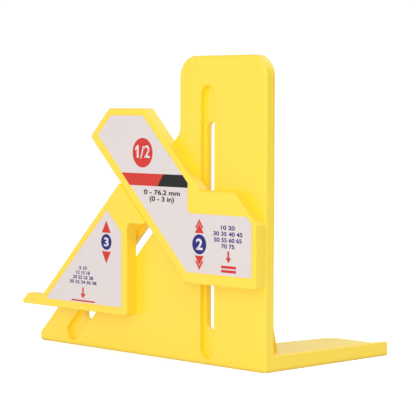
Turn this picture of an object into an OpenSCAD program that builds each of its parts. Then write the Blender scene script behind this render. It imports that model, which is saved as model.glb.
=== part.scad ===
// Table saw height gauge. An upright plate on a foot carries two sliders in
// stepped slots. The stock slider moves straight up. Its slanted arm hooks the
// cutter slider, whose slot climbs at 45 degrees, so that the cutter slider
// always stands at half the height of the stock slider.
// Millimetres, +X right, +Y towards the back, +Z up. The origin lies on the
// table face, below the upright slot, at the middle of the plate's thickness.
// Both sliders are described closed, with their lower edges on the table.

/* [Setting] */
// Height of the stock slider's lower edge above the table, as drawn
set_height = 39.7; // [0:0.1:70]
// Full travel of the stock slider, three inches
travel = 76.2; // [70:0.1:84]

/* [Plate] */
// Thickness of the plate
plate_t = 6; // [5:0.1:8]
// Left edge of the column, from the upright slot's axis
column_left = 19.7; // [14:0.1:24]
// Right edge of the column, from the upright slot's axis
column_right = 39.4; // [34:0.1:48]
// Plate above the upright recess
head_margin = 14.3; // [11:0.1:24]
// Radius of the two top corners
corner_r = 10.5; // [4:0.1:13]
// Radius where the column meets the sloping edge
shoulder_r = 6; // [2:0.1:12]
// Plate between the slanted slot's axis and the sloping edge
apron_margin = 17.4; // [13:0.1:24]
// Height of the upright end at the foot of the sloping edge
end_h = 4.4; // [3.6:0.1:8]
// Radius of the corners at that end
end_r = 1.6; // [0.5:0.1:2]

/* [Slots] */
// Width of the through slots
slot_w = 5.9; // [5.2:0.1:7]
// Width of the front recess round each slot
recess_w = 9.4; // [8.8:0.1:12]
// Depth of the front recess
recess_d = 2.9; // [2:0.1:3.6]
// Lower end of the upright slot above the table
slot_low = 16.5; // [15:0.1:22]
// Upright recess below its slot
recess_under = 13.6; // [8:0.1:14]
// Upright recess above its slot
recess_over = 17.5; // [10:0.1:24]
// Where the slanted slot's axis would meet the table, left of the upright slot
slant_x = 107.8; // [102:0.1:120]
// Height of the centre of the slanted slot's lower end
slant_low = 16.7; // [15:0.1:20]
// Spare length at the slanted slot's upper end
slant_spare = 4; // [0:0.1:8]
// Slanted recess beyond each end of its slot
slant_over = 13.6; // [8:0.1:15]

/* [Foot] */
// Foot behind the plate
foot_l = 83.9; // [60:0.1:110]
// Thickness of the foot
foot_t = 5.6; // [4:0.1:6]
// Left edge of the foot at the plate, from the upright slot's axis
foot_left = 10; // [4:0.1:18]
// How far the foot's left edge draws in towards the rear
foot_taper = 11; // [0:0.1:18]
// Radius of the foot's rear left corner
foot_corner_r = 9; // [3:0.1:14]
// Radius of the foot's rear right corner
foot_edge_r = 1; // [0.5:0.1:2.5]
// Height of the rim along the foot's right edge, at the plate
rim_h = 7.9; // [6.5:0.1:10]
// Height of that rim at its rear end
rim_end_h = 7; // [6.2:0.1:10]
// Width of that rim
rim_w = 3; // [2.6:0.1:6]
// Middle of the gusset between the plate and the foot, from the slot's axis
gusset_x = 18; // [14:0.1:28]
// Thickness of the gusset
gusset_t = 3.5; // [2:0.1:6]
// Gusset along the foot
gusset_l = 23.7; // [15:0.1:50]
// Gusset up the plate
gusset_h = 102; // [50:0.5:115]

/* [Sliders] */
// Front faces of the sliders, ahead of the plate
proud = 7; // [6.4:0.1:9]
// Running clearance of everything that slides
slide_gap = 0.2; // [0.1:0.05:0.3]
// Clearance at the ends of the travel
stop_gap = 0.35; // [0.1:0.05:0.6]
// Front skin of the sliders
skin = 2.4; // [1.8:0.1:3]
// Side walls of the sliders
wall = 2.2; // [1.6:0.1:2.6]
// Stiffening ribs inside the sliders
rib_t = 1.6; // [1:0.1:2.2]
// Spacing of the ribs along the arm
rib_pitch = 20; // [14:0.5:30]
// Guide key beyond its outer screws
key_over = 6.2; // [5.8:0.1:6.6]
// Radius of the sliders' outer corners
slider_r = 2.5; // [1:0.1:3]

/* [Stock slider] */
// Distance between the two screws
stock_pitch = 18.9; // [14:0.1:24]
// Block above the upper screw
block_over = 6.8; // [6.7:0.1:12]
// Slanted cut at the block's upper right corner
block_chamfer = 15; // [6:0.1:22]
// Where the arm's lower edge meets the block's lower edge, left of the slot's axis
arm_foot = 8.5; // [7:0.1:11]
// Width of the arm
arm_w = 38.9; // [33:0.1:44]
// Arm beyond the end of the hook's groove
arm_end = 7.15; // [5:0.05:12]
// Level cut at the arm's upper corner
arm_cut = 13.1; // [6:0.1:18]

/* [Cutter slider] */
// Distance between the two screws
cutter_pitch = 11; // [10.6:0.1:17]
// Slider between its slot's axis and its sloping edge
cutter_margin = 25.1; // [20:0.1:28]
// Slider to the right of its upper screw
cutter_over = 12.6; // [8.5:0.1:14]
// Lug past the right edge, along the arm
lug_reach = 14.4; // [9:0.1:18]
// Toe past the foot of the sloping edge
toe_reach = 12.5; // [8:0.1:16]
// Height of the toe
toe_t = 5.8; // [4:0.1:7]
// Radius of the toe's corners
toe_r = 1; // [0.3:0.1:1.5]

/* [Link] */
// Clearance between the arm's lower edge and the cutter slider
link_gap = 0.5; // [0.2:0.05:0.8]
// Thickness of the cutter slider's tongue behind the arm
tongue_t = 2.6; // [2:0.1:3]
// Width of the arm's lip in front of the tongue
lip_w = 2.4; // [1.8:0.1:4]
// Width of the hook on the tongue
hook_w = 4.6; // [3:0.1:6]
// Hook back from each end of the cutter slider's contact edge
hook_in = 3.15; // [2:0.05:5]

/* [Labels] */
// Thickness of the printed labels
label_t = 0.25; // [0.15:0.05:0.35]
// Depth of the label pockets
pocket_d = 0.4; // [0.4:0.05:0.8]
// Clearance round the labels
label_gap = 0.25; // [0.1:0.05:0.5]
// Rim along the arm's lower edge
rim_arm_low = 4.9; // [3:0.1:6]
// Rim along the arm's upper edge
rim_arm_high = 3; // [2:0.1:6]
// Rim at the arm's end
rim_arm_end = 3.7; // [2:0.1:6]
// Rim at the arm's level top
rim_arm_top = 3.6; // [2:0.1:6]
// Rim at the block's right edge
rim_block = 2.7; // [2:0.1:5]
// Rim above the stock slider's lower edge
rim_stock_low = 5.5; // [3:0.1:8]
// Bare field of the block above its label
field_h = 11.3; // [8:0.1:14]
// Left end of that field, from the upright slot's axis
field_left = 6.6; // [5:0.1:10]
// Slanted cut at the label's upper right corner
label_chamfer = 3.3; // [1:0.1:6]
// Radius of the labels' corners
label_r = 0.6; // [0.3:0.1:1.5]
// Radius of the stock label's inner corner, beside the bare field
label_inner_r = 2.5; // [1:0.1:4]
// Rim along the cutter slider's sloping edge
rim_slope = 3.5; // [2:0.1:6]
// Rim along the cutter slider's right edge
rim_cutter = 4; // [2:0.1:6]
// Rim above the cutter slider's lower edge
rim_cutter_low = 4; // [3:0.1:8]
// Bare band between the cutter slider's label and the arm
band_w = 16.4; // [10:0.1:22]

/* [Fasteners] */
// Shank of the screws
screw_d = 2.9; // [2.5:0.1:3.2]
// Length of the screws under the head
screw_l = 9.5; // [7:0.5:10]
// Clearance of the shank in its hole
thread_gap = 0.05; // [0.02:0.01:0.1]
// Flange of the screw head
flange_d = 8.4; // [7.4:0.1:10]
// Thickness of that flange
flange_t = 0.9; // [0.6:0.1:1.4]
// Diameter of the domed head
head_d = 6.2; // [5:0.1:7]
// Height of the domed head
head_h = 1.9; // [1.4:0.1:2.6]
// Width of the cross recess in the head
cross_w = 0.9; // [0.6:0.1:1.2]
// Length of the cross recess in the head
cross_l = 3.6; // [2.4:0.1:4.2]
// Depth of the cross recess in the head
cross_d = 1.2; // [0.8:0.1:1.8]
// Outer diameter of the flat washers
washer_d = 10; // [8.6:0.1:10.5]
// Thickness of the flat washers
washer_t = 1; // [0.6:0.1:1.6]
// Outer diameter of the disc springs
spring_d = 9.4; // [8.4:0.1:10.4]
// Sheet of the disc springs
spring_t = 0.5; // [0.3:0.05:0.8]
// Height of the disc springs as fitted
spring_h = 0.9; // [0.9:0.05:1.4]

/* [Hidden] */
$fn = 64;
slack = 1;
arc_overlap = 0.002;
diagonal = sqrt(2);
half_t = plate_t / 2;

// Levels through the thickness, front to back
front_y = -half_t - proud;
pocket_y = front_y + pocket_d;
skin_y = front_y + skin;
back_y = -half_t - slide_gap;
tongue_y = back_y - tongue_t;
hook_y = skin_y + slide_gap;
key_y = -half_t + recess_d - slide_gap;
washer_y = half_t + slide_gap;
spring_y = washer_y + washer_t;
seat_y = spring_y + spring_h;

// Guides: slot ends, recess ends and the screws that ride in them
key_w = recess_w - 2 * slide_gap;
boss_d = slot_w - 2 * slide_gap;
washer_bore = boss_d + 2 * slide_gap;
slide_run = travel / diagonal;
slot_first = slot_low + slot_w / 2;
slot_last = slot_first + stock_pitch + travel + 2 * stop_gap;
slot_top = slot_last + slot_w / 2;
recess_first = slot_low - recess_under + recess_w / 2;
recess_last = slot_top + recess_over - recess_w / 2;
plate_h = slot_top + recess_over + head_margin;
slant_first = [slant_low - slant_x, slant_low];
slant_last = along_slant(slant_first, cutter_pitch + slide_run + 2 * stop_gap + slant_spare);
stock_lower = [0, slot_first + stop_gap];
stock_upper = stock_lower + [0, stock_pitch];
cutter_lower = along_slant(slant_first, stop_gap);
cutter_upper = along_slant(cutter_lower, cutter_pitch);

// Plate outline
slope_x = slant_x + apron_margin * diagonal;
plate_points = [
    [end_h - slope_x, 0], [column_right, 0], [column_right, plate_h],
    [-column_left, plate_h], [-column_left, slope_x - column_left], [end_h - slope_x, end_h]
];
plate_radii = [end_r, 0, corner_r, corner_r, shoulder_r, end_r];

// Cutter slider outline, ending along the arm's lower edge
contact_sum = -arm_foot - link_gap * diagonal;
cutter_x = slant_x + cutter_margin * diagonal;
cutter_right = cutter_upper[0] + cutter_over;
lug_x = cutter_right + lug_reach;
lug_z = contact_sum - lug_x;
apex = [(contact_sum - cutter_x) / 2, (contact_sum + cutter_x) / 2];
toe_x = -cutter_x - toe_reach;
cutter_points = [
    [toe_x, 0], [cutter_right, 0], [cutter_right, lug_z], [lug_x, lug_z], apex,
    [toe_t - cutter_x, toe_t], [toe_x + toe_t, toe_t]
];
cutter_radii = [toe_r, slider_r, slider_r, toe_r, toe_r, 0, toe_r];
cutter_block = [[-cutter_x, 0], [cutter_right, 0], [cutter_right, lug_z], [lug_x, lug_z], apex];

// Link: the hook along the arm, and the groove that it runs in
hook_first = up_arm([lug_x, lug_z]) + hook_in;
hook_last = up_arm(apex) - hook_in;
groove_first = hook_first - slide_run - stop_gap;
groove_last = hook_last + stop_gap;
hook_low = lip_w + slide_gap;
groove_w = hook_w + 2 * slide_gap;

// Stock slider outline: a block on the upright slot and an arm up to the left
arm_l = hook_last + arm_end;
arm_top = (arm_l + arm_w) / diagonal - arm_cut;
arm_rise = arm_w * diagonal - arm_foot;
block_h = stock_upper[1] + block_over;
stock_points = [
    on_arm(0, 0), [column_right, 0], [column_right, block_h - block_chamfer],
    [column_right - block_chamfer, block_h], [arm_rise - block_h, block_h],
    [arm_rise - arm_top, arm_top], [arm_top - arm_foot - arm_l * diagonal, arm_top], on_arm(arm_l, 0)
];
stock_radii = [for (point = stock_points) slider_r];

// Label outlines
label_top = block_h - field_h;
label_right = column_right - rim_block;
label_low_sum = -arm_foot + rim_arm_low * diagonal;
label_high_sum = arm_rise - rim_arm_high * diagonal;
label_end_x = arm_foot + (arm_l - rim_arm_end) * diagonal;
label_arm_top = arm_top - rim_arm_top;
stock_label_points = [
    [label_low_sum - rim_stock_low, rim_stock_low], [label_right, rim_stock_low],
    [label_right, label_top - label_chamfer], [label_right - label_chamfer, label_top],
    [-field_left, label_top], [-field_left, label_high_sum + field_left],
    [label_high_sum - label_arm_top, label_arm_top], [label_arm_top - label_end_x, label_arm_top],
    [(label_low_sum - label_end_x) / 2, (label_low_sum + label_end_x) / 2]
];
stock_label_radii = [label_r, label_r, label_r, label_r, label_inner_r, label_r, label_r, label_r, label_r];
label_slope_x = cutter_x - rim_slope * diagonal;
label_band_sum = contact_sum - band_w * diagonal;
label_edge = cutter_right - rim_cutter;
cutter_label_points = [
    [rim_cutter_low - label_slope_x, rim_cutter_low], [label_edge, rim_cutter_low],
    [label_edge, label_band_sum - label_edge],
    [(label_band_sum - label_slope_x) / 2, (label_band_sum + label_slope_x) / 2]
];
cutter_label_radii = [for (point = cutter_label_points) label_r];

yellow = [1, 0.80, 0.12];
label_white = [0.9, 0.86, 0.86];
steel = [0.72, 0.73, 0.75];
spring_steel = [0.45, 0.46, 0.48];

// A point further up the slanted slot
function along_slant(point, run) = point + [run, run] / diagonal;

// A point on the arm: so far up along its lower edge, and so far across it
function on_arm(up, across) = [-arm_foot + (across - up) / diagonal, (up + across) / diagonal];

// How far up along the arm a point lies
function up_arm(point) = (point[1] - point[0] - arm_foot) / diagonal;

// Corner geometry of an outline
function unit(v) = v / norm(v);
function before(points, i) = points[(i + len(points) - 1) % len(points)];
function after(points, i) = points[(i + 1) % len(points)];
function half_angle(a, b, c) = acos(unit(a - b) * unit(c - b)) / 2;
function turns_left(a, b, c) = cross(b - a, c - b) > 0;
function corner_centre(a, b, c, r) = b + unit(unit(a - b) + unit(c - b)) * r / sin(half_angle(a, b, c));
function corner_touch(a, b, c, r) = b + unit(a - b) * r / tan(half_angle(a, b, c));
function is_slanted(v) = v[0] * v[1] != 0;

// Where the side from a towards b runs into the arc at b, a hair inside the arc on a slanted side
function corner_start(a, b, c, r) =
    let (touch = corner_touch(a, b, c, r))
        is_slanted(a - b) ? touch + unit(corner_centre(a, b, c, r) - touch) * arc_overlap : touch;

// Where two lines cross, each given by a point and a direction
function crossing(p, u, q, v) = p + u * cross(q - p, v) / cross(u, v);
function side(v) = [-v[1], v[0]];

// The outline moved inwards by d, or outwards where d is negative
function inset(points, d) = [
    for (i = [0 : len(points) - 1])
        let (u = unit(points[i] - before(points, i)), v = unit(after(points, i) - points[i]))
            crossing(points[i] + side(u) * d, u, points[i] + side(v) * d, v)
];

// An outline with its corners rounded by true arcs
module rounded_outline(points, radii) {
    difference() {
        union() {
            polygon([
                for (i = [0 : len(points) - 1])
                    let (a = before(points, i), b = points[i], c = after(points, i), r = radii[i])
                        each r > 0 ? [corner_start(a, b, c, r), corner_start(c, b, a, r)] : [b]
            ]);
            corner_discs(points, radii, true);
        }
        corner_discs(points, radii, false);
    }
}

module corner_discs(points, radii, outer) {
    for (i = [0 : len(points) - 1])
        let (a = before(points, i), b = points[i], c = after(points, i))
            if (radii[i] > 0 && turns_left(a, b, c) == outer)
                translate(corner_centre(a, b, c, radii[i])) circle(r = radii[i]);
}

// A flat shape drawn in X and Z, standing between two levels of Y
module standing(y0, y1) {
    translate([0, y1, 0]) rotate([90, 0, 0]) linear_extrude(height = y1 - y0) children();
}

// A flat shape drawn in Y and Z, standing between two levels of X
module sidelong(x0, x1) {
    translate([x0, 0, 0]) rotate([90, 0, 90]) linear_extrude(height = x1 - x0) children();
}

// A slot with round ends between two centres
module slot_shape(first, last, width) {
    run = last - first;
    translate(first) rotate(atan2(run[1], run[0])) {
        translate([0, -width / 2]) square([norm(run), width]);
        circle(d = width);
        translate([norm(run), 0]) circle(d = width);
    }
}

// A bar across the arm's directions
module arm_bar(first, last, low, high) {
    polygon([on_arm(first, low), on_arm(last, low), on_arm(last, high), on_arm(first, high)]);
}

module at_stock() { translate([0, 0, set_height]) children(); }
module at_cutter() { translate([set_height / 2, 0, set_height / 2]) children(); }

// A round piece at a screw, standing backwards from a level of Y
module at_screw(place, y) { translate([place[0], y, place[1]]) rotate([-90, 0, 0]) children(); }

// Upright plate, foot, rim and gusset in one moulding
module gauge_plate() {
    color(yellow) difference() {
        union() {
            standing(-half_t, half_t) rounded_outline(plate_points, plate_radii);
            foot();
            gusset();
        }
        guide([0, slot_first], [0, slot_last], [0, recess_first], [0, recess_last]);
        guide(
            slant_first, slant_last,
            along_slant(slant_first, -slant_over), along_slant(slant_last, slant_over));
    }
}

// A through slot inside a shallower recess from the front
module guide(slot_a, slot_b, recess_a, recess_b) {
    standing(-half_t - slack, half_t + slack) slot_shape(slot_a, slot_b, slot_w);
    standing(-half_t - slack, recess_d - half_t) slot_shape(recess_a, recess_b, recess_w);
}

module foot() {
    rear = half_t + foot_l;
    points = [
        [-foot_left, 0], [column_right, 0], [column_right, rear], [foot_taper - foot_left, rear],
        [-foot_left, half_t]
    ];
    linear_extrude(height = foot_t) rounded_outline(points, [0, 0, foot_edge_r, foot_corner_r, 0]);
    rim_points = [
        [column_right - rim_w, 0], [column_right, 0], [column_right, rear], [column_right - rim_w, rear]
    ];
    intersection() {
        linear_extrude(height = rim_h) rounded_outline(rim_points, [0, 0, foot_edge_r, 0]);
        sidelong(column_right - rim_w - slack, column_right + slack)
            polygon([[0, 0], [rear, 0], [rear, rim_end_h], [half_t, rim_h], [0, rim_h]]);
    }
}

module gusset() {
    rear = half_t + gusset_l;
    top = foot_t + gusset_h;
    sidelong(gusset_x - gusset_t / 2, gusset_x + gusset_t / 2)
        polygon([[0, 0], [rear, 0], [rear, foot_t], [half_t, top], [0, top]]);
}

// The key, its screw bosses and their holes behind a slider
module key(lower, upper) {
    along = unit(upper - lower) * (key_over - key_w / 2);
    standing(skin_y, key_y) slot_shape(lower - along, upper + along, key_w);
    for (place = [lower, upper])
        at_screw(place, key_y - slack) cylinder(d = boss_d, h = seat_y - key_y + slack);
}

module screw_holes(lower, upper) {
    hole_d = screw_d + 2 * thread_gap;
    for (place = [lower, upper])
        at_screw(place, seat_y - screw_l - slack) cylinder(d = hole_d, h = screw_l + 2 * slack);
}

// Hollow of the stock slider behind its skin, clear of the key, the ribs and the groove's walls
module stock_hollow() {
    difference() {
        polygon(inset(stock_points, wall));
        slot_shape(stock_lower, stock_upper, key_w);
        arm_bar(-arm_l, arm_l, -slack, lip_w + groove_w + wall);
        for (up = [groove_last : -rib_pitch : -arm_l])
            arm_bar(up - rib_t / 2, up + rib_t / 2, -slack, arm_w + slack);
    }
}

module stock_slider() {
    color(yellow) at_stock() difference() {
        union() {
            difference() {
                standing(front_y, back_y) rounded_outline(stock_points, stock_radii);
                standing(skin_y, back_y + slack) stock_hollow();
                standing(skin_y, back_y + slack)
                    arm_bar(groove_first, groove_last, lip_w, lip_w + groove_w);
                standing(tongue_y - slide_gap, back_y + slack)
                    arm_bar(groove_first, groove_last, -slack, lip_w + slack);
            }
            key(stock_lower, stock_upper);
        }
        screw_holes(stock_lower, stock_upper);
        standing(front_y - slack, pocket_y) rounded_outline(
            inset(stock_label_points, -label_gap), stock_label_radii);
    }
}

// Hollow of the cutter slider behind its skin, clear of the key and two ribs
module cutter_hollow() {
    across = [-1, 1] * cutter_margin;
    difference() {
        polygon(inset(cutter_block, wall));
        slot_shape(cutter_lower, cutter_upper, key_w);
        for (place = [cutter_lower, cutter_upper]) slot_shape(place - across, place + across, rib_t);
    }
}

// Tongue behind the arm, with the hook that the arm's lip carries along
module tongue() {
    standing(tongue_y, back_y) arm_bar(hook_first, hook_last, -link_gap - wall, hook_low + hook_w);
    standing(hook_y, tongue_y + tongue_t / 2) arm_bar(hook_first, hook_last, hook_low, hook_low + hook_w);
}

module cutter_slider() {
    color(yellow) at_cutter() difference() {
        union() {
            difference() {
                standing(front_y, back_y) rounded_outline(cutter_points, cutter_radii);
                standing(skin_y, back_y + slack) cutter_hollow();
            }
            key(cutter_lower, cutter_upper);
            tongue();
        }
        screw_holes(cutter_lower, cutter_upper);
        standing(front_y - slack, pocket_y) rounded_outline(
            inset(cutter_label_points, -label_gap), cutter_label_radii);
    }
}

module stock_label() {
    color(label_white) at_stock()
        standing(pocket_y - label_t, pocket_y) rounded_outline(stock_label_points, stock_label_radii);
}

module cutter_label() {
    color(label_white) at_cutter()
        standing(pocket_y - label_t, pocket_y) rounded_outline(cutter_label_points, cutter_label_radii);
}

// Flanged, domed screw with a cross recess, its flange seated at the origin
module screw() {
    dome_r = (head_h * head_h + head_d * head_d / 4) / (2 * head_h);
    color(steel) difference() {
        union() {
            translate([0, 0, -screw_l]) cylinder(d = screw_d, h = screw_l + flange_t);
            cylinder(d = flange_d, h = flange_t);
            intersection() {
                translate([0, 0, flange_t + head_h - dome_r]) sphere(r = dome_r);
                cylinder(d = head_d + slack, h = flange_t + head_h + slack);
            }
        }
        for (turn = [0, 90])
            rotate(turn) translate([-cross_l / 2, -cross_w / 2, flange_t + head_h - cross_d])
                cube([cross_l, cross_w, cross_d + slack]);
    }
}

module washer() {
    color(steel) difference() {
        cylinder(d = washer_d, h = washer_t);
        translate([0, 0, -slack]) cylinder(d = washer_bore, h = washer_t + 2 * slack);
    }
}

// Coned spring washer, its wide end towards the plate
module disc_spring() {
    inner = washer_bore / 2;
    outer = spring_d / 2;
    color(spring_steel) rotate_extrude()
        polygon([[outer, 0], [outer, spring_t], [inner, spring_h], [inner, spring_h - spring_t]]);
}

module stock_screw_lower() { at_stock() at_screw(stock_lower, seat_y) screw(); }
module stock_screw_upper() { at_stock() at_screw(stock_upper, seat_y) screw(); }
module stock_washer_lower() { at_stock() at_screw(stock_lower, washer_y) washer(); }
module stock_washer_upper() { at_stock() at_screw(stock_upper, washer_y) washer(); }
module stock_spring_lower() { at_stock() at_screw(stock_lower, spring_y) disc_spring(); }
module stock_spring_upper() { at_stock() at_screw(stock_upper, spring_y) disc_spring(); }
module cutter_screw_lower() { at_cutter() at_screw(cutter_lower, seat_y) screw(); }
module cutter_screw_upper() { at_cutter() at_screw(cutter_upper, seat_y) screw(); }
module cutter_washer_lower() { at_cutter() at_screw(cutter_lower, washer_y) washer(); }
module cutter_washer_upper() { at_cutter() at_screw(cutter_upper, washer_y) washer(); }
module cutter_spring_lower() { at_cutter() at_screw(cutter_lower, spring_y) disc_spring(); }
module cutter_spring_upper() { at_cutter() at_screw(cutter_upper, spring_y) disc_spring(); }

gauge_plate();
stock_slider();
cutter_slider();
stock_label();
cutter_label();
stock_screw_lower();
stock_screw_upper();
stock_washer_lower();
stock_washer_upper();
stock_spring_lower();
stock_spring_upper();
cutter_screw_lower();
cutter_screw_upper();
cutter_washer_lower();
cutter_washer_upper();
cutter_spring_lower();
cutter_spring_upper();
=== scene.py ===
"""Looks of a table saw height gauge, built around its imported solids.

The plate and the two sliders are copies of their solids with the rounded edges
of a moulding. The labels keep their solids and get a film finish and thin
layers of print. The screws, washers and springs keep their solids and get
broken edges and a plated finish. Metres, in the solids' frame: +X right, +Y to
the back, +Z up, with the origin on the table face.
"""

import math

import bmesh
import bpy
from bpy.props import FloatProperty, FloatVectorProperty, IntProperty, PointerProperty
from mathutils import Matrix, Vector


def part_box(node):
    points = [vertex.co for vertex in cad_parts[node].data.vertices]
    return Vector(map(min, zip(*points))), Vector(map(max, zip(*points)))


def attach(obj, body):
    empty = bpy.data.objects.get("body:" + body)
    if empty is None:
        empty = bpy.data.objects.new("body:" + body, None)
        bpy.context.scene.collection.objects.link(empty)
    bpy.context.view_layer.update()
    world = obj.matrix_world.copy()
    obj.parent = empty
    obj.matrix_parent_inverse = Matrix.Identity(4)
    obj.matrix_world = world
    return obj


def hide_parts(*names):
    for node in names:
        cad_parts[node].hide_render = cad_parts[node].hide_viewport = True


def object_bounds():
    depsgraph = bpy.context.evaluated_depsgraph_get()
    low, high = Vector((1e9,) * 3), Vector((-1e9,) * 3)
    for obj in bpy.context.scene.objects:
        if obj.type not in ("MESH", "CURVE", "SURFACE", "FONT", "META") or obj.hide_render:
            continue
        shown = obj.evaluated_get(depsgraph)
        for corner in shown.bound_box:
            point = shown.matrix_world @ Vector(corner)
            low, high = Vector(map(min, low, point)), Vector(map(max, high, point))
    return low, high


bl_info = {
    "name": "Table Saw Height Gauge",
    "version": (1, 0, 0),
    "blender": (4, 5, 0),
    "location": "3D View > Sidebar > Height Gauge",
    "description": "Dresses the solids of a table saw height gauge",
    "category": "Object",
}

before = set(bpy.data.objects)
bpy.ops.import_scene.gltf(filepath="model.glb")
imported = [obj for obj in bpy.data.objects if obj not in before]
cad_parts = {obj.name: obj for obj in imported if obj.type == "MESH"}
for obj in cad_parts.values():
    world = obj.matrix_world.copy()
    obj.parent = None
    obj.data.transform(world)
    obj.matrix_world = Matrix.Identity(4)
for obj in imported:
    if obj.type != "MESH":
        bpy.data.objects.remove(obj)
CAD_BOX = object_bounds()

MM = 0.001

# Corners closer than this are one
MERGE = 0.002 * MM
# Points closer than this to a plane lie on it
TOUCH = 0.01 * MM
# Faces that meet at less than this are one flat face
FLAT = math.radians(0.5)
# Edges that turn by more than this are rounded
SHARP = math.radians(40)
# Faces that meet at less than this shade as one
BLEND = math.radians(30)
# A face is a wall while its normal leans to the front or back by less than this
LEAN = 0.5
# Walls in front that are shallower than this belong to a label pocket
POCKET = 1 * MM
# A sink mark shows on what lies this close to the front
SKIN = 0.3 * MM

# Sink marks: where the gusset's foot meets the plate, in X and Z, and the radii of the dips
GUSSET_FOOT = (18 * MM, 9 * MM)
GUSSET_DIP = (1.6 * MM, 3 * MM)
BOSS_DIP = (1.8 * MM, 2.4 * MM)

# Rays that feel how hidden a point is, for the painted glow and painted shade in deep corners
CORNER_SHADE_RAYS = 8
# Sockets of a Mix node that blends colours
MIX_SHARE, MIX_FIRST, MIX_SECOND, MIX_RESULT = 0, 6, 7, 2

# Weight added to the strokes of figures, in ems
BOLD = 0.03
BROAD = 0.012
DISC_SIDES = 64

# Width of the picture in pixels, and of the camera's sensor in millimetres
PIXELS = 416
SENSOR = 36.0
NEAR = 0.01
FLOOR_SIDES = 96
# Where each light stands from the part's middle, and the width of its panel
LIGHTS = {
    "key": ((0.5, -1.1, 0.45), 1.0),
    "fill": ((-1.0, -1.0, 0.2), 1.0),
    "rear": ((-1.1, 1.1, 0.3), 1.6),
    "top": ((0.3, -0.5, 1.2), 1.0),
    "side": ((1.0, 0.25, 1.0), 0.8),
    "back": ((0.2, 0.9, 1.0), 1.2),
}


def length(name, description, default):
    """A length that a user may change."""
    return FloatProperty(
        name=name,
        description=description,
        default=default,
        min=0.0,
        unit="LENGTH",
        subtype="DISTANCE",
        precision=5,
    )


def colour(name, description, default):
    """A colour that a user may change."""
    return FloatVectorProperty(
        name=name,
        description=description,
        default=default,
        size=3,
        min=0.0,
        max=1.0,
        subtype="COLOR",
    )


def share(name, description, default):
    """A share between nothing and all."""
    return FloatProperty(
        name=name, description=description, default=default, min=0.0, max=1.0, subtype="FACTOR"
    )


def number(name, description, default):
    """A plain number that isn't negative."""
    return FloatProperty(name=name, description=description, default=default, min=0.0)


def angle(name, description, degrees):
    """An angle, given here in degrees."""
    return FloatProperty(
        name=name,
        description=description,
        default=math.radians(degrees),
        unit="ROTATION",
        subtype="ANGLE",
    )


def power(name, description, default):
    """The power of a light."""
    return FloatProperty(name=name, description=description, default=default, min=0.0, unit="POWER")


class MouldingSettings(bpy.types.PropertyGroup):
    """Edges and finish of the yellow mouldings."""

    plate_round: length("Plate edges", "Radius of the plate's front edges", 1.4 * MM)
    plate_back_round: length("Plate back edges", "Radius of the plate's back edges", 0.4 * MM)
    recess_round: length("Recess edges", "Radius of the front edges of the recesses", 0.45 * MM)
    slot_round: length("Slot edges", "Radius of the edges of the slots", 0.15 * MM)
    foot_round: length("Foot edges", "Radius of the edges of the foot, rim and gusset", 0.8 * MM)
    table_round: length("Table edges", "Radius of the edges that stand on the table", 0.3 * MM)
    stock_round: length("Stock slider edges", "Radius of the stock slider's front edges", 1.1 * MM)
    cutter_round: length("Cutter slider edges", "Radius of the cutter slider's front edges", 0.8 * MM)
    pocket_round: length("Pocket edges", "Radius of the edges round the label pockets", 0.12 * MM)
    rear_round: length("Rear edges", "Radius of the sliders' outer edges behind", 0.5 * MM)
    core_round: length("Core edges", "Radius of the edges of the sliders' hollows and ribs", 0.15 * MM)
    segments: IntProperty(
        name="Segments", description="Faces across each rounded edge", default=4, min=1, max=8
    )
    yellow: colour("Plastic", "Colour of the plastic", (1.0, 0.745, 0.05))
    deep_yellow: colour("Slow plastic", "Colour where the plastic flowed slower", (0.995, 0.73, 0.045))
    roughness: share("Roughness", "Roughness of the moulded face", 0.36)
    reflection: share("Reflection", "Strength of the plastic's reflections", 0.7)
    flow: length("Flow marks", "Size of the marks that the flowing plastic left", 28 * MM)
    flow_depth: length("Flow depth", "Depth of the flow marks", 0.02 * MM)
    flow_contrast: number("Flow contrast", "Contrast of the flow marks' colours", 1.6)
    flow_gloss: share("Flow gloss", "Roughness that the flow marks give or take", 0.12)
    speck: length("Specks", "Size of the specks in the gloss", 2 * MM)
    speck_gloss: share("Speck gloss", "Roughness that the specks give or take", 0.02)
    grain: length("Grain", "Size of the moulded texture", 0.18 * MM)
    grain_depth: length("Grain depth", "Depth of the moulded texture", 0.0015 * MM)
    boss_sink: length("Boss sink", "Depth of the sink mark over the stock slider's upper boss", 0.3 * MM)
    gusset_sink: length("Gusset sink", "Depth of the sink mark in front of the gusset", 0.15 * MM)
    sink_gloss: share("Sink gloss", "Roughness that a sink mark takes", 0.12)
    # Painted glow and painted shade in deep corners, in place of light that comes through the plastic
    painted_light_reach: length("Painted corner reach", "How far the painted corner glow and shade reach, and how far above the table they fade in", 5 * MM)
    painted_corner_gain: number("Painted corner gain", "How soon a corner counts as deep", 2.0)
    painted_corner_glow: colour("Painted corner glow", "Painted glow in a deep corner", (0.27, 0.12, 0.0))
    painted_corner_shade: colour("Painted corner shade", "Painted shade colour of the plastic in a deep corner", (1.0, 0.745, 0.0))
    # Painted contact shadow: a darker orange line along the table
    painted_shadow_height: length("Painted contact shadow", "Height of the painted contact shadow along the table", 0.6 * MM)
    painted_contact_shadow: colour("Painted contact shadow colour", "Colour of the painted contact shadow", (0.55, 0.32, 0.03))


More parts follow.
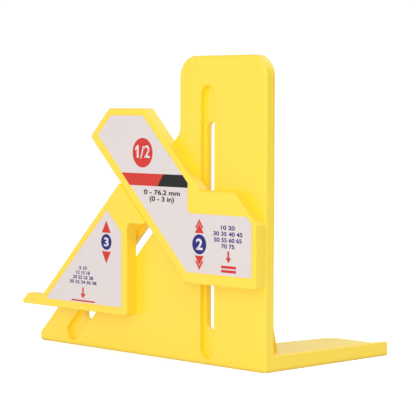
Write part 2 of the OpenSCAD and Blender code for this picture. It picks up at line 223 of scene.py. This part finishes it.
class LabelSettings(bpy.types.PropertyGroup):
    """Film and print of the two labels."""

    film: colour("Film", "Colour of the label film", (0.765, 0.695, 0.69))
    film_shade: share("Film shade", "Brightness of the film's darker clouds", 0.96)
    film_roughness: share("Film roughness", "Roughness of the film", 0.48)
    cloud: length("Clouds", "Size of the clouds in the film", 9 * MM)
    cloud_depth: length("Cloud depth", "Depth of the clouds in the film", 0.01 * MM)
    tooth: length("Tooth", "Size of the film's fine texture", 0.25 * MM)
    tooth_depth: length("Tooth depth", "Depth of the film's fine texture", 0.001 * MM)
    red: colour("Red", "Colour of the red print", (0.66, 0.032, 0.021))
    blue: colour("Blue", "Colour of the blue print", (0.014, 0.009, 0.2))
    black: colour("Black", "Colour of the black print", (0.005, 0.004, 0.004))
    white: colour("White", "Colour of the numbers on the discs", (0.8, 0.78, 0.78))
    ink: length("Ink", "Thickness of one layer of print", 0.02 * MM)
    ink_spread: length("Ink spread", "Size of the uneven spots in the ink", 1.2 * MM)
    ink_fade: share("Ink fade", "How far the uneven spots fade", 0.01)
    ink_roughness: share("Ink roughness", "Roughness of the ink", 0.44)
    ink_reflection: share("Ink reflection", "Strength of the ink's reflections", 0.3)
    uneven_gloss: share("Uneven gloss", "Roughness that clouds and spots give or take", 0.1)
    ratio_disc: length("Ratio disc", "Diameter of the disc on the arm", 14.7 * MM)
    stock_disc: length("Stock disc", "Diameter of the disc on the stock label", 9.65 * MM)
    cutter_disc: length("Cutter disc", "Diameter of the disc on the cutter label", 8 * MM)
    stock_row: length("Stock rows", "Height of the figures in the stock label's rows", 2.1 * MM)
    cutter_row: length("Cutter rows", "Height of the figures in the cutter label's rows", 1.8 * MM)
    range_row: length("Range rows", "Height of the figures in the range", 2.5 * MM)


class HardwareSettings(bpy.types.PropertyGroup):
    """Finish of the screws, washers and springs."""

    zinc: colour("Zinc", "Colour of the plated screws and washers", (0.62, 0.64, 0.66))
    spring: colour("Spring steel", "Colour of the disc springs", (0.24, 0.245, 0.26))
    shade: share("Shade", "Brightness of the darker clouds", 0.82)
    screw_roughness: share("Screw roughness", "Roughness of the screws", 0.3)
    washer_roughness: share("Washer roughness", "Roughness of the washers", 0.38)
    spring_roughness: share("Spring roughness", "Roughness of the springs", 0.35)
    cloud: length("Clouds", "Size of the clouds in the plating", 1.5 * MM)
    cloud_gloss: share("Cloud gloss", "Roughness that the clouds give or take", 0.25)
    tooth: length("Tooth", "Size of the fine texture", 0.08 * MM)
    tooth_depth: length("Tooth depth", "Depth of the fine texture", 0.002 * MM)
    edge_round: length("Broken edges", "Radius of the broken edges", 0.12 * MM)
    segments: IntProperty(
        name="Segments", description="Faces across each broken edge", default=2, min=1, max=4
    )


class StageSettings(bpy.types.PropertyGroup):
    """Camera, floor and lights."""

    camera_place: FloatVectorProperty(
        name="Camera",
        description="Place of the camera",
        default=(0.62049, -0.61074, 0.12755),
        unit="LENGTH",
        subtype="TRANSLATION",
    )
    yaw: angle("Yaw", "Turn to the left of +Y", 45.563)
    pitch: angle("Pitch", "Tilt below level", 3.372)
    roll: angle("Roll", "Lean of the picture", 0.165)
    focal_pixels: FloatProperty(
        name="Focal length",
        description="Focal length in pixels of the picture",
        default=1797.5,
        min=1.0,
        subtype="PIXEL",
    )
    floor: colour("Floor", "Colour of the floor", (0.8, 0.8, 0.8))
    floor_shade: share("Floor shade", "Brightness of the floor's darker clouds", 0.99)
    floor_roughness: share("Floor roughness", "Roughness of the floor", 0.9)
    floor_cloud: length("Floor clouds", "Size of the clouds in the floor", 0.4)
    sheet: length("Sheet", "Radius of the round sheet on the floor", 0.7)
    glow: number("Floor glow", "Light that comes up through the floor", 0.16)
    floor_veil: number("Floor veil", "White of the floor seen directly", 0.55)
    surround: number("Surround", "Strength of the soft light all round", 0.47)
    backdrop: number("Backdrop", "Strength of the white seen behind", 1.05)
    key: power("Key light", "Power of the large light to the right of the front", 6.5)
    fill: power("Fill light", "Power of the light from the left", 1.3)
    rear: power("Rear light", "Power of the wide light from behind on the left", 3.5)
    top: power("Top light", "Power of the light from above", 3.1)
    side: power("Side light", "Power of the light from the upper right", 1.2)
    back: power("Back light", "Power of the light from above and behind", 5.5)


class Value:
    """A shader socket that adds Math nodes when it is used in an expression."""

    def __init__(self, nodes, socket):
        self.nodes = nodes
        self.socket = socket

    def math(self, operation, first, second):
        """The result of a Math node."""
        return self.nodes.node("ShaderNodeMath", {"operation": operation}, {0: first, 1: second})

    def __add__(self, other):
        return self.math("ADD", self, other)

    def __radd__(self, other):
        return self.math("ADD", other, self)

    def __sub__(self, other):
        return self.math("SUBTRACT", self, other)

    def __rsub__(self, other):
        return self.math("SUBTRACT", other, self)

    def __mul__(self, other):
        return self.math("MULTIPLY", self, other)

    def __rmul__(self, other):
        return self.math("MULTIPLY", other, self)

    def __truediv__(self, other):
        return self.math("DIVIDE", self, other)

    def __rtruediv__(self, other):
        return self.math("DIVIDE", other, self)

    def __pow__(self, other):
        return self.math("POWER", self, other)

    def __rpow__(self, other):
        return self.math("POWER", other, self)

    def __lt__(self, other):
        return self.math("LESS_THAN", self, other)

    def __gt__(self, other):
        return self.math("GREATER_THAN", self, other)


class Nodes:
    """The nodes of a tree, written as expressions."""

    def __init__(self, tree):
        self.tree = tree

    def node(self, kind, settings=None, inputs=None, output=0):
        """Any node: its kind, its settings, then the values or links of its sockets."""
        node = self.tree.nodes.new(kind)
        for name, value in (settings or {}).items():
            setattr(node, name, value)
        for name, value in (inputs or {}).items():
            self.feed(node.inputs[name], value)
        return Value(self, node.outputs[output])

    def feed(self, socket, value):
        """Links a value to a socket, or sets a plain number or colour on it."""
        if isinstance(value, Value):
            self.tree.links.new(value.socket, socket)
        else:
            socket.default_value = value


class Finish(Nodes):
    """A material and its patterns, placed by a piece's own coordinates."""

    def __init__(self, name):
        self.material = bpy.data.materials.new(name)
        self.material.use_nodes = True
        super().__init__(self.material.node_tree)
        self.shader = self.tree.nodes["Principled BSDF"]
        self.place = self.node("ShaderNodeTexCoord", output="Object")

    def set(self, **inputs):
        """Values or links of the shader's own sockets, with _ for a space."""
        for name, value in inputs.items():
            self.feed(self.shader.inputs[name.replace("_", " ")], value)

    def noise(self, size, detail=2.0):
        """Soft noise about zero, with features of that size."""
        inputs = {"Vector": self.place, "Scale": 1 / size, "Detail": detail}
        return self.node("ShaderNodeTexNoise", None, inputs, "Fac") - 0.5

    def axes(self):
        """The three coordinates of a point of the piece."""
        split = self.node("ShaderNodeSeparateXYZ", None, {"Vector": self.place}).socket.node
        return [Value(self, socket) for socket in split.outputs]

    def mix(self, share_of_second, first, second):
        """A blend of two colours, the first of which may be a blend itself."""
        first = first if isinstance(first, Value) else (*first, 1)
        inputs = {MIX_SHARE: share_of_second, MIX_FIRST: first, MIX_SECOND: (*second, 1)}
        return self.node("ShaderNodeMix", {"data_type": "RGBA", "clamp_factor": True}, inputs, MIX_RESULT)

    def bump(self, height):
        """Relief of that height in metres."""
        inputs = {"Strength": 1.0, "Distance": 1.0, "Height": height}
        self.set(Normal=self.node("ShaderNodeBump", None, inputs))


def dimmed(tint, brightness):
    """A darker colour of the same hue."""
    return [brightness * part for part in tint]


def moulded_plastic(name, settings, front, sinks):
    """Satin yellow plastic with a fine moulded texture, and sink marks in its front face.

    Each sink mark is a centre in X and Z, the radius of its dip in each of them, and its depth.
    Deep corners get a painted glow and a painted deeper orange, in place of light that comes through
    the plastic, but not along the table, where a painted contact shadow darkens the lower edges.
    """
    finish = Finish(name)
    x, y, z = finish.axes()
    flow = finish.noise(settings.flow, 3.0)
    height = finish.noise(settings.grain) * settings.grain_depth + flow * settings.flow_depth
    specks = finish.noise(settings.speck) * settings.speck_gloss
    roughness = flow * settings.flow_gloss + specks + settings.roughness
    on_front = y < front + SKIN
    for (sink_x, sink_z), (radius_x, radius_z), depth in sinks:
        apart = ((x - sink_x) / radius_x) ** 2.0 + ((z - sink_z) / radius_z) ** 2.0
        dip = (math.e ** (0 - apart)) * on_front
        height = height - dip * depth
        roughness = roughness - dip * settings.sink_gloss
    # Painted glow and painted shade: the more hidden a point is, the more it glows and the deeper orange
    # it is; both fade out along the table
    rays = {"samples": CORNER_SHADE_RAYS}
    seen = finish.node("ShaderNodeAmbientOcclusion", rays, {"Distance": settings.painted_light_reach}, "AO")
    hidden = (1 - seen) * (1 - math.e ** (z / (-settings.painted_light_reach)))
    deep = hidden * hidden * settings.painted_corner_gain
    tint = finish.mix(flow * settings.flow_contrast + 0.5, settings.yellow, settings.deep_yellow)
    tint = finish.mix(deep, tint, settings.painted_corner_shade)
    # Painted contact shadow: darker orange towards the table along the lower edges
    tint = finish.mix(math.e ** (z / (-settings.painted_shadow_height)), tint, settings.painted_contact_shadow)
    finish.set(
        Base_Color=tint,
        Roughness=roughness,
        Specular_IOR_Level=settings.reflection,
        # Painted glow in deep corners: the plastic gives light there though it is no lamp
        Emission_Color=finish.mix(deep, (0, 0, 0), settings.painted_corner_glow),
        Emission_Strength=1.0,
    )
    finish.bump(height)
    return finish.material


def label_film(settings):
    """Light satin film with a faint tooth."""
    finish = Finish("label_film")
    cloud = finish.noise(settings.cloud)
    finish.set(
        Base_Color=finish.mix(cloud + 0.5, settings.film, dimmed(settings.film, settings.film_shade)),
        Roughness=cloud * settings.uneven_gloss + settings.film_roughness,
    )
    finish.bump(finish.noise(settings.tooth) * settings.tooth_depth + cloud * settings.cloud_depth)
    return finish.material


def print_ink(name, tint, settings):
    """Printed ink, a little uneven."""
    finish = Finish(name)
    spots = finish.noise(settings.ink_spread)
    faded = [part + settings.ink_fade * (1 - part) for part in tint]
    finish.set(
        Base_Color=finish.mix(spots + 0.5, tint, faded),
        Roughness=spots * settings.uneven_gloss + settings.ink_roughness,
        Specular_IOR_Level=settings.ink_reflection,
    )
    return finish.material


def plated_steel(name, tint, roughness, settings):
    """Bright steel with a fine tooth and a slightly cloudy surface."""
    finish = Finish(name)
    cloud = finish.noise(settings.cloud, 3.0)
    finish.set(
        Base_Color=finish.mix(cloud + 0.5, tint, dimmed(tint, settings.shade)),
        Metallic=1.0,
        Roughness=cloud * settings.cloud_gloss + roughness,
    )
    finish.bump(finish.noise(settings.tooth) * settings.tooth_depth)
    return finish.material


def plain_floor(settings):
    """Matt white floor, lit a little from below, and more where the picture shows it directly."""
    finish = Finish("floor_paper")
    cloud = finish.noise(settings.floor_cloud)
    seen = finish.node("ShaderNodeLightPath", output="Is Camera Ray")
    finish.set(
        Base_Color=finish.mix(cloud + 0.5, settings.floor, dimmed(settings.floor, settings.floor_shade)),
        Roughness=settings.floor_roughness,
        Emission_Color=finish.mix(seen, [settings.glow] * 3, [settings.floor_veil] * 3),
        Emission_Strength=1.0,
    )
    return finish.material


def white_surround(settings):
    """Soft white light all round, with a brighter white where the picture shows it directly."""
    world = bpy.data.worlds.new("white_surround")
    world.use_nodes = True
    nodes = Nodes(world.node_tree)
    background = world.node_tree.nodes["Background"]
    seen = nodes.node("ShaderNodeLightPath", output="Is Camera Ray")
    nodes.feed(background.inputs["Color"], (1, 1, 1, 1))
    strength = seen * (settings.backdrop - settings.surround) + settings.surround
    nodes.feed(background.inputs["Strength"], strength)
    return world


def coat(piece, material):
    """Gives a solid one material."""
    piece.data.materials.clear()
    piece.data.materials.append(material)


def new_piece(bm, name, material):
    """A mesh object at the origin made from a bmesh."""
    mesh = bpy.data.meshes.new(name)
    bm.to_mesh(mesh)
    bm.free()
    mesh.materials.append(material)
    piece = bpy.data.objects.new(name, mesh)
    bpy.context.scene.collection.objects.link(piece)
    return piece


def finished_mesh(piece):
    """A new mesh of an object with its modifiers, or its text, applied."""
    return bpy.data.meshes.new_from_object(piece.evaluated_get(bpy.context.evaluated_depsgraph_get()))


def keep_shape(piece):
    """Makes the shape after a piece's modifiers its own mesh."""
    rough = piece.data
    piece.data = finished_mesh(piece)
    piece.modifiers.clear()
    bpy.data.meshes.remove(rough)
    piece.data.name = piece.name


def shade_evenly(mesh):
    """Gives each corner the mean normal of the faces that meet there at a low angle, by their areas."""
    meeting = [[] for vert in mesh.vertices]
    for face in mesh.polygons:
        for vert in face.vertices:
            meeting[vert].append(face)
    normals = []
    for face in mesh.polygons:
        for vert in face.vertices:
            near = [other for other in meeting[vert] if other.normal.dot(face.normal) > math.cos(BLEND)]
            normals.append(sum((other.normal * other.area for other in near), Vector()).normalized())
    mesh.normals_split_custom_set(normals)


def merged_solid(node):
    """A copy of a solid, with its loose triangles joined into flat faces."""
    bm = bmesh.new()
    bm.from_mesh(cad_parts[node].data)
    bmesh.ops.remove_doubles(bm, verts=bm.verts, dist=MERGE)
    bmesh.ops.dissolve_limit(bm, angle_limit=FLAT, verts=bm.verts, edges=bm.edges)
    return bm


def levels(part):
    """How far back each corner of an edge or a face lies."""
    return [vert.co.y for vert in part.verts]


def depth_of(face):
    """How far a face reaches from front to back."""
    return max(levels(face)) - min(levels(face))


def rounded_moulding(node, body, name, material, radius_of, settings):
    """A copy of a solid whose outer edges are rounded, each by its own radius."""
    bm = merged_solid(node)
    weight = bm.edges.layers.float.new("bevel_weight_edge")
    radii = {
        edge: radius_of(edge)
        for edge in bm.edges
        if edge.is_manifold and edge.is_convex and edge.calc_face_angle() > SHARP
    }
    widest = max(radii.values())
    for edge, radius in radii.items():
        edge[weight] = radius / widest
    for face in bm.faces:
        face.smooth = True
    piece = new_piece(bm, name, material)
    bevel = piece.modifiers.new("Rounded edges", "BEVEL")
    bevel.limit_method = "WEIGHT"
    bevel.width = widest
    bevel.segments = settings.segments
    bevel.use_clamp_overlap = False
    bevel.loop_slide = False
    keep_shape(piece)
    shade_evenly(piece.data)
    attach(piece, body)
    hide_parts(node)


class GAUGE_OT_plate(bpy.types.Operator):
    """Round the edges of the plate with its foot, rim and gusset"""

    bl_idname = "gauge.plate"
    bl_label = "Plate"

    def execute(self, context):
        settings = context.scene.gauge_moulding
        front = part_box("gauge_plate")[0].y
        back = -front

        def radius_of(edge):
            if max(vert.co.z for vert in edge.verts) < TOUCH:
                return settings.table_round
            if max(levels(edge)) > back + TOUCH:
                return settings.foot_round
            walls = [face for face in edge.link_faces if abs(face.normal.y) < LEAN]
            stepped = min(depth_of(wall) for wall in walls) < back - front - TOUCH
            if max(levels(edge)) < front + TOUCH:
                return settings.recess_round if stepped else settings.plate_round
            return settings.slot_round if stepped else settings.plate_back_round

        sinks = [(GUSSET_FOOT, GUSSET_DIP, settings.gusset_sink)]
        material = moulded_plastic("plate_plastic", settings, front, sinks)
        rounded_moulding("gauge_plate", "base", "plate_moulding", material, radius_of, settings)
        return {"FINISHED"}


def dress_slider(body, front_round, sinks, settings):
    """Rounds the edges of a slider, with that radius in front."""
    node = body + "_slider"
    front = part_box(node)[0].y

    def radius_of(edge):
        if max(levels(edge)) < front + TOUCH:
            in_pocket = max(depth_of(face) for face in edge.link_faces) < POCKET
            return settings.pocket_round if in_pocket else front_round
        outer = any(min(levels(face)) < front + TOUCH for face in edge.link_faces)
        return settings.rear_round if outer else settings.core_round

    material = moulded_plastic(body + "_plastic", settings, front, sinks)
    rounded_moulding(node, body, body + "_moulding", material, radius_of, settings)


class GAUGE_OT_sliders(bpy.types.Operator):
    """Round the edges of the stock slider and the cutter slider"""

    bl_idname = "gauge.sliders"
    bl_label = "Sliders"

    def execute(self, context):
        settings = context.scene.gauge_moulding
        low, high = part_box("stock_screw_upper")
        boss = (low + high) / 2
        sinks = [((boss.x, boss.z), BOSS_DIP, settings.boss_sink)]
        dress_slider("stock", settings.stock_round, sinks, settings)
        dress_slider("cutter", settings.cutter_round, [], settings)
        return {"FINISHED"}


class GAUGE_OT_films(bpy.types.Operator):
    """Finish the two label films"""

    bl_idname = "gauge.films"
    bl_label = "Label films"

    def execute(self, context):
        material = label_film(context.scene.gauge_label)
        for node in ("stock_label", "cutter_label"):
            coat(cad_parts[node], material)
        return {"FINISHED"}


def flat_shape(bm, points):
    """A flat shape with straight sides."""
    bm.faces.new([bm.verts.new((x, y, 0)) for x, y in points])


def flat_bar(bm, left, right, low, high):
    """An upright rectangle."""
    flat_shape(bm, [(left, low), (right, low), (right, high), (left, high)])


def flat_disc(bm, centre, diameter):
    """A round spot."""
    place = Matrix.Translation((*centre, 0))
    bmesh.ops.create_circle(bm, cap_ends=True, segments=DISC_SIDES, radius=diameter / 2, matrix=place)


def flat_triangle(bm, x, base, tip, half_width):
    """A triangle that points up or down."""
    flat_shape(bm, [(x - half_width, base), (x + half_width, base), (x, tip)])


def flat_chevron(bm, x, base, tip, half_width, thickness):
    """An arrowhead with an open back, thickness measured along its direction."""
    inner = tip - math.copysign(thickness, tip - base)
    inner_width = half_width / (tip - base) * (inner - base)
    flat_shape(bm, [
        (x - half_width, base), (x - inner_width, base), (x, inner),
        (x + inner_width, base), (x + half_width, base), (x, tip),
    ])


def flat_arrow(bm, x, start, neck, tip, half_shaft, half_head):
    """An arrow with a straight shaft."""
    flat_shape(bm, [
        (x - half_shaft, start), (x - half_shaft, neck), (x - half_head, neck), (x, tip),
        (x + half_head, neck), (x + half_shaft, neck), (x + half_shaft, start),
    ])


def flat_one(bm, centre, height, stroke):
    """A plain figure one: an upright stroke with a flag, centred on the stroke."""
    x, y = centre
    left, right = x - stroke / 2, x + stroke / 2
    low, high = y - height / 2, y + height / 2
    flag = left - 0.85 * stroke
    flat_shape(bm, [
        (left, low), (right, low), (right, high), (left + 0.2 * stroke, high),
        (flag, high - 1.1 * stroke), (flag, high - 2.1 * stroke), (left, high - 1.3 * stroke),
    ])


def text_mesh(words, weight):
    """Centred words as a flat mesh, one unit to the em."""
    curve = bpy.data.curves.new("words", "FONT")
    curve.body = words
    curve.align_x = "CENTER"
    curve.offset = weight
    carrier = bpy.data.objects.new("words", curve)
    bpy.context.scene.collection.objects.link(carrier)
    mesh = finished_mesh(carrier)
    bpy.data.objects.remove(carrier)
    bpy.data.curves.remove(curve)
    return mesh


def reach(mesh, axis):
    """The lowest and the highest coordinate of a mesh along an axis."""
    places = [vert.co[axis] for vert in mesh.vertices]
    return min(places), max(places)


def flat_figures(bm, words, centre, height, width, weight=BOLD):
    """Figures of that height and overall width, centred on a point."""
    nought = text_mesh("0", weight)
    low, high = reach(nought, 1)
    bpy.data.meshes.remove(nought)
    mesh = text_mesh(words, weight)
    left, right = reach(mesh, 0)
    scale = Matrix.Diagonal((width / (right - left), height / (high - low), 1, 1))
    middle = Matrix.Translation((-(left + right) / 2, -(low + high) / 2, 0))
    mesh.transform(Matrix.Translation((*centre, 0)) @ scale @ middle)
    bm.from_mesh(mesh)
    bpy.data.meshes.remove(mesh)


def flat_rows(bm, rows, top, pitch, height):
    """Rows of figures below one another, each with its overall width."""
    for index, (words, width) in enumerate(rows):
        flat_figures(bm, words, (top[0], top[1] - index * pitch), height, width)


def lay_ink(bm, name, body, layer, material, thickness):
    """Turns a flat drawing, measured from a label's lower right corner, into a layer of print on it."""
    low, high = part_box(body + "_label")
    raised = bmesh.ops.extrude_face_region(bm, geom=bm.faces[:])["geom"]
    verts = [part for part in raised if isinstance(part, bmesh.types.BMVert)]
    bmesh.ops.translate(bm, verts=verts, vec=(0, 0, thickness))
    bmesh.ops.recalc_face_normals(bm, faces=bm.faces)
    upright = Matrix.Rotation(math.radians(90), 4, "X")
    corner = Vector((high.x, low.y - layer * thickness, low.z))
    bmesh.ops.transform(bm, matrix=Matrix.Translation(corner) @ upright, verts=bm.verts)
    piece = new_piece(bm, name, material)
    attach(piece, body)


def lay_print(inks, body, settings):
    """Lays the drawings of one label on it, with the white figures on top of the discs."""
    for ink, drawing in inks.items():
        layer = 1 if ink == "white" else 0
        material = print_ink(f"{body}_ink_{ink}", getattr(settings, ink), settings)
        lay_ink(drawing, f"{body}_print_{ink}", body, layer, material, settings.ink)


def draw_ratio(inks, settings):
    """The ratio of the two heights, on a disc at the upper end of the arm."""
    x, y = -75.5 * MM, 57.2 * MM
    middle = y + 0.6 * MM
    height = 6.3 * MM
    flat_disc(inks["red"], (x, y), settings.ratio_disc)
    flat_one(inks["white"], (x - 3.55 * MM, middle), height, stroke=1.35 * MM)
    bar = (x - 0.3 * MM, middle - 0.4 * MM)
    flat_figures(inks["white"], "/", bar, height=6.4 * MM, width=2.9 * MM, weight=BROAD)
    flat_figures(inks["white"], "2", (x + 3.3 * MM, middle), height, width=4.2 * MM, weight=BROAD)


def draw_banner(inks):
    """A band across the arm, red and black, with its ends along the arm's edges."""
    low, high = 40.9 * MM, 47.0 * MM
    split_low, split_high = -64.7 * MM, -60.4 * MM
    lower_edge, upper_edge = -44.5 * MM, 0.1 * MM
    field_edge = -43.1 * MM
    flat_shape(inks["red"], [
        (lower_edge - low, low), (split_low, low), (split_high, high), (lower_edge - high, high),
    ])
    flat_shape(inks["black"], [
        (split_low, low), (field_edge, low), (field_edge, upper_edge - field_edge),
        (upper_edge - high, high), (split_high, high),
    ])


class GAUGE_OT_stock_print(bpy.types.Operator):
    """Print the stock label: ratio disc, banner, range, setting mark and stock rows"""

    bl_idname = "gauge.stock_print"
    bl_label = "Stock print"

    def execute(self, context):
        settings = context.scene.gauge_label
        inks = {ink: bmesh.new() for ink in ("red", "black", "blue", "white")}
        draw_ratio(inks, settings)
        draw_banner(inks)
        ranges = (("0 - 76.2 mm", 26 * MM), ("(0 - 3 in)", 17.5 * MM))
        flat_rows(inks["black"], ranges, (-61.5 * MM, 37.9 * MM), 3.2 * MM, settings.range_row)

        mark = (-34.96 * MM, 14.0 * MM)
        flat_disc(inks["blue"], mark, settings.stock_disc)
        flat_figures(inks["white"], "2", mark, height=5.6 * MM, width=4.6 * MM)
        for base, way in ((19.4 * MM, 1), (8.5 * MM, -1)):
            tip = base + way * 4.6 * MM
            flat_triangle(inks["red"], mark[0], base, tip, half_width=3.1 * MM)
            notch = base + way * 2.5 * MM
            tip = base + way * 6.9 * MM
            flat_chevron(inks["red"], mark[0], notch, tip, half_width=2.95 * MM, thickness=1.9 * MM)

        rows = (
            ("10 20", 9.4 * MM),
            ("30 35 40 45", 19.6 * MM),
            ("50 55 60 65", 18.6 * MM),
            ("70 75", 8.8 * MM),
        )
        flat_rows(inks["blue"], rows, (-15.6 * MM, 22.9 * MM), 2.96 * MM, settings.stock_row)
        flat_arrow(
            inks["red"],
            x=-15.2 * MM,
            start=11.8 * MM,
            neck=8.6 * MM,
            tip=6.1 * MM,
            half_shaft=0.6 * MM,
            half_head=1.85 * MM,
        )
        for low in (3.5 * MM, 1.5 * MM):
            flat_bar(inks["red"], left=-20 * MM, right=-10 * MM, low=low, high=low + 1.3 * MM)
        lay_print(inks, "stock", settings)
        return {"FINISHED"}


class GAUGE_OT_cutter_print(bpy.types.Operator):
    """Print the cutter label: setting mark, cutter rows, arrow and line"""

    bl_idname = "gauge.cutter_print"
    bl_label = "Cutter print"

    def execute(self, context):
        settings = context.scene.gauge_label
        inks = {ink: bmesh.new() for ink in ("red", "blue", "white")}

        mark = (-11.45 * MM, 32.6 * MM)
        flat_disc(inks["blue"], mark, settings.cutter_disc)
        flat_figures(inks["white"], "3", mark, height=4.6 * MM, width=3.6 * MM)
        for base, way in ((37.3 * MM, 1), (27.8 * MM, -1)):
            tip = base + way * 6.2 * MM
            flat_triangle(inks["red"], mark[0], base, tip, half_width=3.46 * MM)

        rows_x = -29.7 * MM
        rows = (
            ("5 10", 6 * MM),
            ("12 15 18", 10.6 * MM),
            ("20 22 25 28", 16 * MM),
            ("30 32 34 36 38", 21 * MM),
        )
        flat_rows(inks["blue"], rows, (rows_x, 18.1 * MM), 2.45 * MM, settings.cutter_row)
        flat_arrow(
            inks["red"],
            x=rows_x,
            start=8.0 * MM,
            neck=4.7 * MM,
            tip=2.2 * MM,
            half_shaft=0.6 * MM,
            half_head=2.1 * MM,
        )
        flat_bar(inks["red"], left=-38.85 * MM, right=-20.4 * MM, low=0.66 * MM, high=1.46 * MM)
        lay_print(inks, "cutter", settings)
        return {"FINISHED"}


class GAUGE_OT_hardware(bpy.types.Operator):
    """Plate the screws, washers and disc springs and break their edges"""

    bl_idname = "gauge.hardware"
    bl_label = "Screws, washers and springs"

    def execute(self, context):
        settings = context.scene.gauge_hardware
        finishes = {
            "screw": plated_steel("screw_zinc", settings.zinc, settings.screw_roughness, settings),
            "washer": plated_steel("washer_zinc", settings.zinc, settings.washer_roughness, settings),
            "spring": plated_steel("spring_steel", settings.spring, settings.spring_roughness, settings),
        }
        for body in ("stock", "cutter"):
            for kind, material in finishes.items():
                for place in ("lower", "upper"):
                    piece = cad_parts[f"{body}_{kind}_{place}"]
                    coat(piece, material)
                    weld = piece.modifiers.new("Joined faces", "WELD")
                    weld.merge_threshold = MERGE
                    bevel = piece.modifiers.new("Broken edges", "BEVEL")
                    bevel.width = settings.edge_round
                    bevel.segments = settings.segments
                    bevel.limit_method = "ANGLE"
                    bevel.angle_limit = SHARP
                    bevel.harden_normals = True
        return {"FINISHED"}


def photo_camera(settings):
    """A camera from its place, turn, tilt and lean."""
    data = bpy.data.cameras.new("camera")
    data.sensor_width = SENSOR
    data.lens = settings.focal_pixels / PIXELS * SENSOR
    data.clip_start = NEAR
    camera = bpy.data.objects.new("camera", data)
    turn = Matrix.Rotation(settings.yaw, 4, "Z")
    tilt = Matrix.Rotation(math.radians(90) - settings.pitch, 4, "X")
    lean = Matrix.Rotation(settings.roll, 4, "Z")
    camera.matrix_world = Matrix.Translation(settings.camera_place) @ turn @ tilt @ lean
    bpy.context.scene.collection.objects.link(camera)
    return camera


def soft_light(name, target, offset, size, watts):
    """A square light panel that faces a point."""
    data = bpy.data.lights.new(name, "AREA")
    data.size = size
    data.energy = watts
    light = bpy.data.objects.new(name, data)
    light.location = target + offset
    light.rotation_mode = "QUATERNION"
    light.rotation_quaternion = (-offset).to_track_quat("-Z", "Y")
    light.visible_camera = False
    bpy.context.scene.collection.objects.link(light)


class GAUGE_OT_stage(bpy.types.Operator):
    """Set up the camera, the floor and the lights"""

    bl_idname = "gauge.stage"
    bl_label = "Camera, floor and lights"

    def execute(self, context):
        settings = context.scene.gauge_stage
        context.scene.view_settings.view_transform = "Standard"
        context.scene.camera = photo_camera(settings)
        context.scene.world = white_surround(settings)

        bm = bmesh.new()
        bmesh.ops.create_circle(bm, cap_ends=True, segments=FLOOR_SIDES, radius=settings.sheet)
        new_piece(bm, "floor", plain_floor(settings))

        middle = (CAD_BOX[0] + CAD_BOX[1]) / 2
        for name, (offset, size) in LIGHTS.items():
            soft_light(name + "_light", middle, Vector(offset), size, getattr(settings, name))
        return {"FINISHED"}


class GAUGE_PT_panel(bpy.types.Panel):
    """Lists the steps and their settings"""

    bl_idname = "GAUGE_PT_panel"
    bl_label = "Height Gauge"
    bl_space_type = "VIEW_3D"
    bl_region_type = "UI"
    bl_category = "Height Gauge"

    def draw(self, context):
        for operator in OPERATORS:
            self.layout.operator(operator.bl_idname)
        for group in GROUPS:
            settings = getattr(context.scene, group)
            box = self.layout.box()
            for name in settings.bl_rna.properties.keys():
                if name not in ("rna_type", "name"):
                    box.prop(settings, name)


GROUPS = {
    "gauge_moulding": MouldingSettings,
    "gauge_label": LabelSettings,
    "gauge_hardware": HardwareSettings,
    "gauge_stage": StageSettings,
}
OPERATORS = (
    GAUGE_OT_plate,
    GAUGE_OT_sliders,
    GAUGE_OT_films,
    GAUGE_OT_stock_print,
    GAUGE_OT_cutter_print,
    GAUGE_OT_hardware,
    GAUGE_OT_stage,
)
CLASSES = (*GROUPS.values(), *OPERATORS, GAUGE_PT_panel)


def register():
    for cls in CLASSES:
        bpy.utils.register_class(cls)
    for name, group in GROUPS.items():
        setattr(bpy.types.Scene, name, PointerProperty(type=group))


def unregister():
    for name in GROUPS:
        delattr(bpy.types.Scene, name)
    for cls in reversed(CLASSES):
        bpy.utils.unregister_class(cls)


def main():
    register()
    bpy.ops.gauge.plate()
    bpy.ops.gauge.sliders()
    bpy.ops.gauge.films()
    bpy.ops.gauge.stock_print()
    bpy.ops.gauge.cutter_print()
    bpy.ops.gauge.hardware()
    bpy.ops.gauge.stage()


if __name__ == "__main__":
    main()
